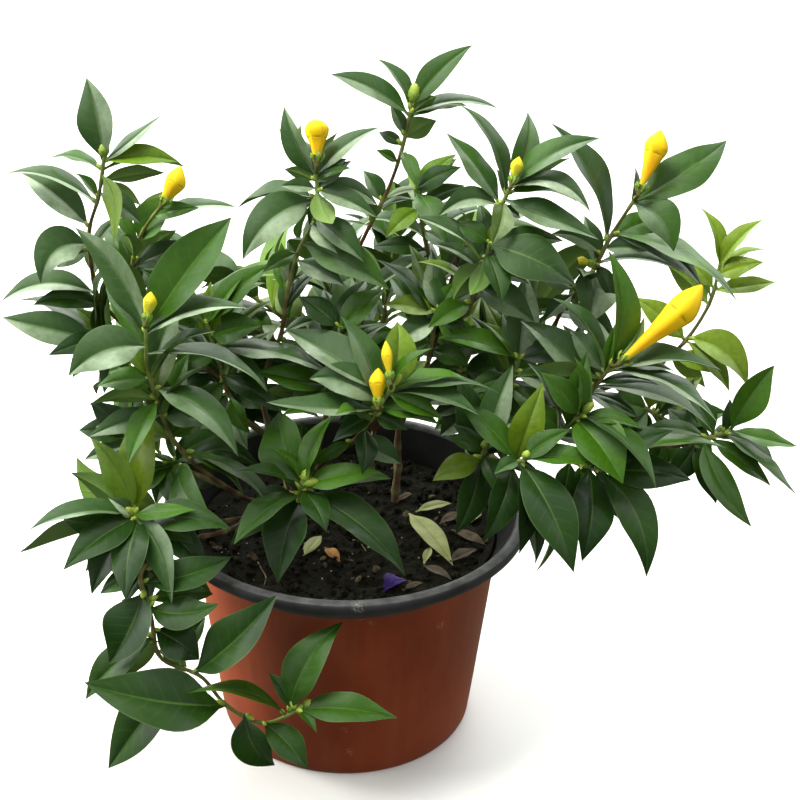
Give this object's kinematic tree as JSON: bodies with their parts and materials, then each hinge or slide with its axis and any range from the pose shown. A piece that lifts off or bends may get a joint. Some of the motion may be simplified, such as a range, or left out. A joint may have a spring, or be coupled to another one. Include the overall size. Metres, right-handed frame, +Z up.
{
  "type": "potted yellow jasmine",
  "caption": "Bushy twining shrub with glossy lance-shaped leaves and yellow flower buds, growing in soil in a round tapered pot with a wide lip.",
  "frame": {"origin": "middle of the pot's flat underside", "axes": "+Z up along the pot's axis, +X to the right and -Y to the front as the picture shows the plant, along its widest and its narrowest side"},
  "size_m": [0.3774, 0.2837, 0.3359],
  "materials": {
    "pot_red": "satin",
    "soil_dark": "rough",
    "bark": "matt",
    "leaf_green": "satin",
    "leaf_fresh": "satin",
    "petal_yellow": "satin",
    "leaf_fallen": "matt",
    "leaf_amber": "matt",
    "petal_violet": "matt",
    "leaf_dry": "matt"
  },
  "bodies": {
    "root": {"amber_leaf": "leaf_amber", "back_far_left": "leaf_green", "back_left": "leaf_green", "back_left_high": "leaf_green", "back_left_low": "leaf_green", "back_middle": "leaf_green", "back_middle_low": "leaf_green", "back_right": "leaf_green", "back_right_high": "leaf_green", "back_right_low": "leaf_green", "back_top_left": "leaf_green", "big_bud": "leaf_green", "big_bud_flower_1": "petal_yellow", "centre_buds": "leaf_green", "centre_buds_flower_1": "petal_yellow", "centre_buds_flower_2": "petal_yellow", "centre_deep": "leaf_green", "centre_high": "leaf_green", "centre_left": "leaf_green", "centre_left_bud": "leaf_green", "centre_left_bud_flower_1": "petal_yellow", "dry_curl": "leaf_dry", "dry_leaf": "leaf_dry", "fallen_leaf": "leaf_fallen", "far_right_fresh": "leaf_fresh", "far_right_low": "leaf_green", "front_left": "leaf_green", "front_middle": "leaf_green", "front_right": "leaf_green", "left_bud": "leaf_green", "left_bud_flower_1": "petal_yellow", "left_crown": "leaf_green", "left_deep": "leaf_green", "left_fan": "leaf_green", "left_inner": "leaf_green", "left_low_deep": "leaf_green", "left_second": "leaf_green", "left_second_flower_1": "petal_yellow", "low_left_rosette": "leaf_green", "pot": "pot_red", "right_centre_bud": "leaf_green", "right_centre_bud_flower_1": "petal_yellow", "right_centre_deep": "leaf_green", "right_deep": "leaf_green", "right_hanging": "leaf_green", "right_inner": "leaf_green", "right_inner_low": "leaf_green", "right_middle": "leaf_green", "soil": "soil_dark", "top": "leaf_green", "top_middle": "leaf_green", "trailing": "leaf_green", "upper_right_bud": "leaf_green", "upper_right_bud_flower_1": "petal_yellow", "upper_right_bud_flower_2": "petal_yellow", "violet_petal": "petal_violet", "wood_back": "bark", "wood_centre": "bark", "wood_left": "bark", "wood_right": "bark"}
  },
  "joints": []
}
